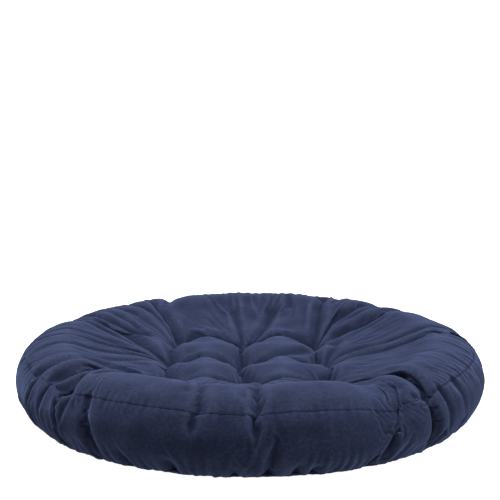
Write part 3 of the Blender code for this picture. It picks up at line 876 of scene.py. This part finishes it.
def make_room():
    # a pale floor that curves up into a pale wall all the way round
    profile = [(0.0, 0.0), (1.0, 0.0), (2.0, 0.0), (2.8, 0.0)]
    profile += [(2.8 + 1.2 * math.sin(a), 1.2 - 1.2 * math.cos(a)) for a in np.linspace(0.1, math.pi / 2, 12)]
    profile += [(4.0, 3.0), (4.0, 5.0)]
    count = 96
    verts = [(0, 0, 0)]
    for r, z in profile[1:]:
        verts += [(r * math.cos(2 * math.pi * k / count), r * math.sin(2 * math.pi * k / count), z) for k in range(count)]
    faces = [(0, 1 + k, 1 + (k + 1) % count) for k in range(count)]
    for j in range(len(profile) - 2):
        a, b = 1 + j * count, 1 + (j + 1) * count
        faces += [(a + k, b + k, b + (k + 1) % count, a + (k + 1) % count) for k in range(count)]
    mesh = bpy.data.meshes.new("studio_floor")
    mesh.from_pydata(verts, [], faces)
    mesh.shade_smooth()
    m, t, shader = nodes_of("pale_floor")
    shader.inputs["Base Color"].default_value = (0.9, 0.9, 0.9, 1)
    shader.inputs["Roughness"].default_value = 0.9
    shader.inputs["Emission Color"].default_value = (1, 1, 1, 1)
    shader.inputs["Emission Strength"].default_value = FLOOR_GLOW
    mesh.materials.append(m)
    floor = bpy.data.objects.new("studio_floor", mesh)
    bpy.context.scene.collection.objects.link(floor)
    floor.visible_diffuse = False
    floor.visible_glossy = False
    floor.visible_shadow = False

    world = bpy.data.worlds.new("studio_light")
    bpy.context.scene.world = world
    world.use_nodes = True
    t = world.node_tree
    back = t.nodes["Background"]
    where = t.nodes.new("ShaderNodeTexCoord")
    xyz = t.nodes.new("ShaderNodeSeparateXYZ")
    t.links.new(where.outputs["Generated"], xyz.inputs[0])
    ramp = t.nodes.new("ShaderNodeValToRGB")
    t.links.new(maths(t, "ADD", maths(t, "MULTIPLY", xyz.outputs["Z"], 0.5), 0.5), ramp.inputs[0])
    e = ramp.color_ramp.elements
    e[0].position, e[0].color = 0.0, (*[WORLD_LOW] * 3, 1)
    e[1].position, e[1].color = 1.0, (*[WORLD_TOP] * 3, 1)
    mid = ramp.color_ramp.elements.new(0.52)
    mid.color = (*[WORLD_MID] * 3, 1)
    t.links.new(ramp.outputs[0], back.inputs["Color"])
    back.inputs["Strength"].default_value = 1.0

    area_light("top_softbox", (-0.45, 0.20, 1.5), (0, 0, 0.05), (0.8, 0.6), TOP_WATTS)
    area_light("left_softbox", (-1.5, 0.2, 0.8), (0, 0, 0.05), (0.6, 0.8), LEFT_WATTS)
    area_light("right_softbox", (1.4, -0.4, 0.55), (0, 0, 0.05), (0.6, 0.8), RIGHT_WATTS)


FLOOR_GLOW = 0.97
WORLD_LOW, WORLD_MID, WORLD_TOP = 0.38, 0.45, 0.38
TOP_WATTS, LEFT_WATTS, RIGHT_WATTS = 22.0, 2.0, 9.0


def capsule(a, b, radius, sides=6, rings=3):
    """Points and faces of a short round-ended stitch from a to b."""
    a, b = Vector(a), Vector(b)
    along = (b - a).normalized()
    across = along.orthogonal().normalized()
    other = along.cross(across)
    stations = []
    for k in range(rings):
        t = math.pi / 2 * (k + 0.6) / rings
        stations.append((a - along * (radius * math.cos(t)), radius * math.sin(t)))
    stations.append((a + (b - a) * 0.5, radius * 1.06))
    for k in reversed(range(rings)):
        t = math.pi / 2 * (k + 0.6) / rings
        stations.append((b + along * (radius * math.cos(t)), radius * math.sin(t)))
    verts, faces = [], []
    for p, r in stations:
        for k in range(sides):
            w = 2 * math.pi * k / sides
            verts.append(p + across * (r * math.cos(w)) + other * (r * math.sin(w)))
    for i in range(len(stations) - 1):
        for k in range(sides):
            m = (k + 1) % sides
            q = (i * sides + k, i * sides + m, (i + 1) * sides + m, (i + 1) * sides + k)
            faces += [(q[0], q[1], q[2]), (q[0], q[2], q[3])]
    for k in range(1, sides - 1):
        faces.append((0, k + 1, k))
        last = (len(stations) - 1) * sides
        faces.append((last, last + k, last + k + 1))
    return [tuple(v) for v in verts], faces


def rope(path, radius, sides, closed):
    """Points and faces of a tube along a path."""
    path = [Vector(p) for p in path]
    n = len(path)
    verts, faces, guide = [], [], None
    for i, p in enumerate(path):
        ahead = path[(i + 1) % n] if closed or i + 1 < n else p
        behind = path[i - 1] if closed or i else p
        along = (ahead - behind).normalized()
        guide = guide or along.orthogonal()
        across = (guide - along * guide.dot(along)).normalized()
        guide = across
        other = along.cross(across)
        for k in range(sides):
            w = 2 * math.pi * k / sides
            verts.append(tuple(p + across * (radius * math.cos(w)) + other * (radius * math.sin(w))))
    for i in range(n if closed else n - 1):
        j = (i + 1) % n
        for k in range(sides):
            m = (k + 1) % sides
            faces += [(i * sides + k, i * sides + m, j * sides + m), (i * sides + k, j * sides + m, j * sides + k)]
    if not closed:
        for k in range(1, sides - 1):
            faces.append((0, k + 1, k))
            last = (n - 1) * sides
            faces.append((last, last + k, last + k + 1))
    return verts, faces


def joined(parts):
    verts, faces = [], []
    for v, f in parts:
        base = len(verts)
        verts += v
        faces += [tuple(i + base for i in q) for q in f]
    return np.array(verts), np.array(faces)


def seam_stitches(name, cloth, places, normals, k, start, stop, length, gap, material, node, spread=0.0):
    """Single stitches along the edge of piece k, from start to stop, 0 to 1
    around the cushion."""
    flat = cloth.flat[k]
    with np.errstate(invalid="ignore"):
        ring = np.nonzero(np.hypot(flat[:, 0], flat[:, 1]) > cloth.around / (2 * math.pi) - 1e-5)[0]
    a = angle_of(cloth)[ring]
    order = np.argsort(a)
    ring, a = ring[order], a[order]
    a3 = np.concatenate([a - 1, a, a + 1])
    p3 = np.concatenate([places[ring]] * 3)
    n3 = np.concatenate([normals[ring]] * 3)
    # length along the seam
    run = np.concatenate([[0], np.cumsum(np.linalg.norm(np.diff(p3, axis=0), axis=1))])
    lo, hi = np.interp([start, stop], a3, run)
    pitch = length + gap
    parts = []
    count = int((hi - lo) / pitch)
    for i in range(count):
        s0 = lo + (hi - lo) * (i + 0.5) / count - length / 2
        ends = []
        for s in (s0, s0 + length):
            p = np.array([np.interp(s, run, p3[:, c]) for c in range(3)])
            q = np.array([np.interp(s, run, n3[:, c]) for c in range(3)])
            ends.append(p - q * 0.00012)
        parts.append(capsule(ends[0], ends[1], 0.00036))
    v, f = joined(parts)
    o = mesh_object(name, v, f, material)
    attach(o, "root")
    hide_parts(node)
    return o


def wrinkles(cloth, places, tufts):
    """Fine wrinkles of the gathered cloth: long across the rim, short around
    it, strongest to the left and the right."""
    around = angle_of(cloth)
    r = np.hypot(places[:, 0], places[:, 1])
    rng = np.random.default_rng(21)
    up = ~np.isnan(cloth.flat[0][:, 0])
    side = ~np.isnan(cloth.flat[1][:, 0]) & ~up
    # how far along the cloth from the centre, over the seam and down the side
    cut = cloth.around / (2 * math.pi)
    run = np.zeros(len(r))
    run[up] = np.hypot(*cloth.flat[0][up].T)
    run[side] = cut + cloth.flat[1][side, 1]
    total = np.zeros(len(r))
    for cells, long, strength in ((64, 0.070, 1.0), (118, 0.055, 0.75), (190, 0.045, 0.50), (290, 0.035, 0.30)):
        rows = int((cut + BAND) / long) + 3
        grid = rng.normal(0, 1, (cells, rows))
        shift = rng.uniform(-1.2, 1.2, rows)
        v = run / long
        j = np.clip(v.astype(int), 0, rows - 2)
        g = v - j
        g = g * g * (3 - 2 * g)
        drift = shift[j] * (1 - g) + shift[j + 1] * g
        u = around * cells + drift
        i = np.floor(u).astype(int)
        f = u - i
        f = f * f * (3 - 2 * f)
        n = ((grid[i % cells, j] * (1 - f) + grid[(i + 1) % cells, j] * f) * (1 - g)
             + (grid[i % cells, j + 1] * (1 - f) + grid[(i + 1) % cells, j + 1] * f) * g)
        total += strength * (np.abs(n) ** 0.75 * np.sign(n))
    sides = 0.30 + 0.70 * smooth(0.40, 0.85, np.abs(np.cos(around * 2 * math.pi)))
    out = np.zeros(len(r))
    out[up] = (WRINKLE * sides * smooth(0.11, 0.17, r))[up]
    t = np.zeros(len(r))
    t[side] = cloth.flat[1][side, 1] / BAND
    out[side] = (WRINKLE * (0.15 + 0.75 * sides) * (1 - smooth(0.25, 0.8, t)))[side]
    out = out * total
    # small puckers run out from each tuft
    for k, strength in ((0, 0.00060), (2, 0.00035)):
        here = np.nonzero(~np.isnan(cloth.flat[k][:, 0]))[0]
        p = cloth.flat[k][here]
        for fx, fy in tufts:
            d = np.hypot(p[:, 0] - fx, p[:, 1] - fy)
            near = d < 0.10
            turn = np.arctan2(p[near, 1] - fy, p[near, 0] - fx)
            wave = sum(np.sin(f * turn + rng.uniform(0, 6.3)) * w for f, w in ((5, 0.9), (8, 0.8), (13, 0.6), (19, 0.4)))
            out[here[near]] += strength * wave * np.exp(-d[near] / 0.020) * smooth(0.002, 0.009, d[near])
    # soft uneven dents all over
    for _ in range(26):
        way = rng.normal(0, 1, 3)
        way *= 2 * math.pi / rng.uniform(0.020, 0.060) / np.linalg.norm(way)
        out += 0.00010 * np.sin(places @ way + rng.uniform(0, 6.3))
    # deeper puckers where the side is gathered into the underside
    band = np.nonzero(~np.isnan(cloth.flat[1][:, 0]))[0]
    low = BAND - cloth.flat[1][band, 1]
    for angle, depth, _, lean in FOOT_FOLDS:
        da = (around[band] * 2 * math.pi - math.radians(angle) - lean * low / BAND + math.pi) % (2 * math.pi) - math.pi
        out[band] -= depth / 1000 * 0.40 * np.exp(-(da * RADIUS / 0.0030) ** 2 - (low / 0.012) ** 2)
    return out


def filling_inside(level1, cloth, places):
    """The filling's surface: the cover's, evened, and below its creases."""
    n1, n2 = len(level1.flat[0]), len(cloth.flat[0])
    e, _, _ = level1.edges()
    both = np.concatenate([e, e[:, ::-1]])
    degree = np.bincount(both[:, 0], minlength=n1)[:, None]

    def mean(u):
        return np.stack([np.bincount(both[:, 0], u[both[:, 1], k], n1) for k in range(3)], 1) / degree

    base = places[:n1].copy()
    for _ in range(12):
        base = 0.5 * base + 0.5 * mean(base)
    normals = point_normals(base, level1.faces)
    tree = KDTree(n2)
    for k in range(n2):
        tree.insert(places[k], k)
    tree.balance()
    depth = np.zeros(n1)
    for k in range(n1):
        n = Vector(normals[k])
        q = Vector(base[k])
        depth[k] = max((q - at).dot(n) for at, _, _ in tree.find_range(q, 0.016) if ((at - q) - n * (at - q).dot(n)).length < 0.0090)
    inner = base - normals * (np.minimum(depth, 0.016) + 0.0035)[:, None]
    for _ in range(2):
        inner = 0.5 * inner + 0.5 * mean(inner)
    return inner


WRINKLE = 0.00052


def build(cloth, x, tufts, table, level1):
    base, light = ((0.0130, 0.0175, 0.0430), (0.0200, 0.0265, 0.0620)), (0.0360, 0.0455, 0.0940)
    navy_top = fabric("navy_fabric_top", base, light, 1.9)
    navy_side = fabric("navy_fabric_side", base, light, 1.9)
    navy_under = fabric("navy_fabric_under", base, light, 1.9)
    thread = thread_material("navy_thread", (0.0120, 0.0165, 0.042))

    fine, places = rounded(cloth, x)
    normals = point_normals(places, fine.faces)
    places = places + normals * wrinkles(fine, places, tufts)[:, None]
    # the seams: a fine groove where the two cloths meet, gathered unevenly
    d = seam_distance(fine)
    around = angle_of(fine)
    rng = np.random.default_rng(3)
    wave = np.zeros(len(around))
    for k in rng.integers(60, 260, 26):
        wave += np.sin(2 * math.pi * (k * around + rng.random())) * (60.0 / k) ** 0.3
    wave /= 5.0
    groove = -0.0004 * np.exp(-(d / 0.0016) ** 2)
    gather = 0.00045 * wave * np.exp(-(d / 0.010) ** 2)
    places = places + normals * (groove + gather)[:, None]
    places[:, 2] = np.maximum(places[:, 2], 0.0)
    normals = point_normals(places, fine.faces)

    # how much painted shade darkens the fabric in the folds and painted highlight pales it on the ridges
    fold = fold_shade_mask(cloth, fine, places)
    for name, k, m, node in (("top_cover", 0, navy_top, "top_panel"), ("side_cover", 1, navy_side, "side_band"),
                             ("under_cover", 2, navy_under, "bottom_panel")):
        o = shell(name, k, fine, places, cloth, m, fold)
        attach(o, "root")
        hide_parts(node)
        print(name, len(o.data.polygons), flush=True)

    # the filling, just inside the cover
    m, t, shader = nodes_of("white_fibre")
    where = t.nodes.new("ShaderNodeTexCoord")
    fluff = add(t, "ShaderNodeTexNoise", Scale=120.0, Detail=6.0, Roughness=0.7, Distortion=1.5)
    t.links.new(where.outputs["Object"], fluff.inputs["Vector"])
    ramp = t.nodes.new("ShaderNodeValToRGB")
    ramp.color_ramp.elements[0].color = (0.62, 0.62, 0.60, 1)
    ramp.color_ramp.elements[1].color = (0.88, 0.88, 0.86, 1)
    t.links.new(fluff.outputs["Fac"], ramp.inputs[0])
    t.links.new(ramp.outputs[0], shader.inputs["Base Color"])
    shader.inputs["Roughness"].default_value = 0.95
    bump = add(t, "ShaderNodeBump", Strength=0.8, Distance=0.002)
    t.links.new(fluff.outputs["Fac"], bump.inputs["Height"])
    t.links.new(bump.outputs[0], shader.inputs["Normal"])
    fibre = mesh_object("fibre_filling", filling_inside(level1, cloth, places), level1.faces, m)
    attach(fibre, "root")
    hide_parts("filling")

    seam_stitches("top_seam_stitches", fine, places, normals, 0, 0.0, 1.0, 0.0030, 0.0009, thread, "top_seam_thread")
    seam_stitches("under_seam_stitches", fine, places, normals, 2, 132.5 / 360, 1 + 99.5 / 360, 0.0030, 0.0009, thread, "bottom_seam_thread")
    seam_stitches("closing_stitches", fine, places, normals, 2, 100.5 / 360, 131.5 / 360, 0.0046, 0.0016, thread, "closing_stitch_thread")

    # the join of the strip's two ends, at the back
    band = ~np.isnan(fine.flat[1][:, 0])
    a = around[band]
    near = np.nonzero(band)[0][np.abs(a - 0.25) < 0.004]
    t_near = fine.flat[1][near, 1]
    parts = []
    steps = 16
    for k in range(steps):
        ends = []
        for t_at in (BAND * (k + 0.58) / (steps + 1), BAND * (k + 1.32) / (steps + 1)):
            w = np.exp(-((t_near - t_at) / 0.0016) ** 2 - ((around[near] - 0.25) * fine.around / 0.0016) ** 2)
            p = (places[near] * w[:, None]).sum(0) / w.sum()
            q = (normals[near] * w[:, None]).sum(0)
            ends.append(p + q / np.linalg.norm(q) * 0.0001)
        parts.append(capsule(ends[0], ends[1], 0.0004))
    v, f = joined(parts)
    o = mesh_object("band_join_stitches", v, f, thread)
    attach(o, "root")
    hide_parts("band_join_thread")

    # the tufts: three passes of thread through the cushion, side by side
    names = [f"{r}_{c}" for r in ("back", "middle", "front") for c in ("left", "centre", "right")]
    names = names  # rows run from the back (+Y) to the front
    for i, ((fx, fy), (tx, ty, tz)) in enumerate(zip(tufts, tuft_list())):
        rng = np.random.default_rng(40 + i)
        turn = rng.uniform(-0.5, 0.5)
        # the cover's own height at the tuft
        top_d = np.hypot(fine.flat[0][:, 0] - fx, fine.flat[0][:, 1] - fy)
        low_d = np.hypot(fine.flat[2][:, 0] - fx, fine.flat[2][:, 1] - fy)
        high = places[np.nonzero(top_d < 0.0032)[0], 2].max()
        low = places[np.nonzero(low_d < 0.0032)[0], 2].min()
        parts = []
        for j in range(3):
            off = (j - 1) * 0.0009
            w = turn + (j - 1) * 0.16
            half = 0.0031 + rng.uniform(-0.0003, 0.0003)
            ux, uy = math.cos(w), math.sin(w)
            cx, cy = tx - math.sin(turn) * off, ty + math.cos(turn) * off
            path = []
            bend = 0.0012
            for side, z, a0, a1 in ((1, high, 90, 0), (1, low, 0, -90), (-1, low, -90, -180), (-1, high, 180, 90)):
                sign = 1 if z == high else -1
                for q in range(5):
                    g = math.radians(a0 + (a1 - a0) * q / 4)
                    s = side * (half - bend) + bend * math.cos(g)
                    path.append((cx + ux * s, cy + uy * s, z + sign * 0.0003 + bend * (math.sin(g) - sign)))
            parts.append(rope(path, 0.0005, 8, True))
        v, f = joined(parts)
        o = mesh_object("tuft_" + names[i], v, f, thread)
        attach(o, "root")
        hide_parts("tuft_thread_" + names[i])


make_camera()
make_room()
cloth, x, tufts, table, level1 = sew_and_fill()
build(cloth, x, tufts, table, level1)
